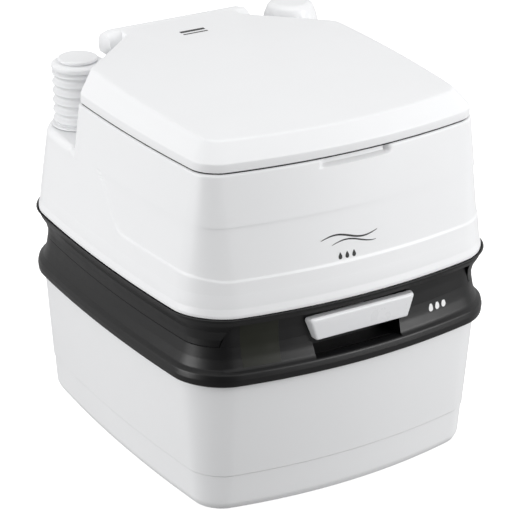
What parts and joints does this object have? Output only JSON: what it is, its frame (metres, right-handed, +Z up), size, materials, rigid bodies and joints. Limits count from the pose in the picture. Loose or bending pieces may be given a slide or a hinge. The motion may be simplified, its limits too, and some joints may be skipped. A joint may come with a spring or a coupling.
{
  "type": "portable cassette toilet",
  "caption": "Free-standing two-piece portable toilet: flush tank with bowl, seat and lid on a detachable waste tank with slide valve.",
  "frame": {"origin": "on the floor under the middle of the body", "axes": "+Z up, -Y the front with the valve handle, +X the filler cap side"},
  "size_m": [0.3826, 0.4268, 0.414],
  "materials": {
    "white_shell": "satin moulded polyethylene",
    "white_soft": "soft moulded polyethylene",
    "dark_shell": "fine-grained dark grey polypropylene",
    "handle_white": "smooth",
    "window": "smoked translucent plastic",
    "rubber_black": "matt",
    "valve_grey": "moulded acetal",
    "steel": "stainless",
    "float_red": "moulded",
    "foam": "closed-cell foam",
    "cap_grey": "moulded",
    "vent_green": "moulded",
    "tube_clear": "flexible vinyl"
  },
  "bodies": {
    "waste_section": {"waste_tank_shell": "white_shell", "waste_tank_deck": "dark_shell", "tank_feet": "rubber_black", "valve_base": "valve_grey", "valve_cover": "valve_grey", "valve_lip_seal": "rubber_black", "valve_screws": "steel", "level_window": "window", "float_pin": "steel", "spout_oring": "rubber_black", "latch_pin": "steel", "latch_spring": "steel", "vent_spring": "steel"},
    "valve": {"valve_blade": "white_soft", "valve_handle": "handle_white"},
    "float": {"float_arm": "float_red", "level_float": "foam"},
    "spout": {"pour_spout": "dark_shell"},
    "spout_cap_seal": {"spout_cap_seal": "rubber_black"},
    "spout_cap": {"spout_cap": "cap_grey"},
    "vent": {"vent_button": "vent_green", "vent_seal": "rubber_black"},
    "latch": {"tank_latch": "dark_shell"},
    "flush_section": {"upper_tank": "white_shell", "upper_base": "dark_shell", "bowl": "white_shell", "bowl_gasket": "rubber_black", "pump_collar": "white_shell", "pump_bellows": "white_soft", "pump_dip_tube": "tube_clear", "pump_foot_valve": "valve_grey", "flush_hose": "tube_clear", "flush_nozzle": "white_shell", "hinge_pin": "steel"},
    "pump_head": {"pump_head": "white_shell"},
    "fill_cap_seal": {"fill_cap_seal": "rubber_black"},
    "fill_cap": {"fill_cap": "white_shell"},
    "seat": {"seat": "white_shell", "seat_bumpers": "rubber_black"},
    "lid": {"lid": "white_shell", "lid_bumpers": "rubber_black"}
  },
  "joints": [
    {"name": "section_lift", "type": "slide", "parent": "waste_section", "child": "flush_section", "axis": [0, 0, 1], "range_m": [0, 0.15]},
    {"name": "valve_slide", "type": "slide", "parent": "waste_section", "child": "valve", "axis": [0, -1, 0], "range_m": [0, 0.1]},
    {"name": "float_swing", "type": "hinge", "parent": "waste_section", "child": "float", "pos_m": [-0.112, -0.166, 0.176], "axis": [1, 0, 0], "range_deg": [0, 32]},
    {"name": "spout_swivel", "type": "hinge", "parent": "waste_section", "child": "spout", "pos_m": [0.1, 0.174, 0.16], "axis": [0, 0, -1], "range_deg": [0, 90]},
    {"name": "spout_cap_lift", "type": "slide", "parent": "spout", "child": "spout_cap_seal", "axis": [-1, 0, 0], "range_m": [0, 0.012]},
    {"name": "spout_cap_turn", "type": "hinge", "parent": "spout_cap_seal", "child": "spout_cap", "pos_m": [0, 0.174, 0.1755], "axis": [-1, 0, 0], "range_deg": [0, 540]},
    {"name": "vent_press", "type": "slide", "parent": "waste_section", "child": "vent", "axis": [0, 0, -1], "range_m": [0, 0.004], "stiffness_N_per_m": 300, "springref_m": -0.002, "deforming": ["vent_spring"]},
    {"name": "latch_pull", "type": "hinge", "parent": "waste_section", "child": "latch", "pos_m": [-0.09, 0.196, 0.18], "axis": [-1, 0, 0], "range_deg": [0, 15], "stiffness_Nm_per_rad": 0.5, "springref_deg": -5.73},
    {"name": "pump_press", "type": "slide", "parent": "flush_section", "child": "pump_head", "axis": [0, 0, -1], "range_m": [0, 0.03], "stiffness_N_per_m": 150, "springref_m": -0.01, "deforming": ["pump_bellows"]},
    {"name": "fill_cap_lift", "type": "slide", "parent": "flush_section", "child": "fill_cap_seal", "axis": [0, 0, 1], "range_m": [0, 0.016]},
    {"name": "fill_cap_turn", "type": "hinge", "parent": "fill_cap_seal", "child": "fill_cap", "pos_m": [0.136, 0.15, 0.396], "axis": [0, 0, 1], "range_deg": [0, 720]},
    {"name": "seat_hinge", "type": "hinge", "parent": "flush_section", "child": "seat", "pos_m": [0, 0.17, 0.395], "axis": [-1, 0, 0], "range_deg": [0, 95]},
    {"name": "lid_hinge", "type": "hinge", "parent": "seat", "child": "lid", "pos_m": [0, 0.17, 0.395], "axis": [1, 0, 0], "range_deg": [-100, 0]}
  ],
  "couplings": [
    {"joint": "spout_cap_lift", "follows": "spout_cap_turn", "m_per_rad": 0.0012732},
    {"joint": "fill_cap_lift", "follows": "fill_cap_turn", "m_per_rad": 0.0012732}
  ]
}
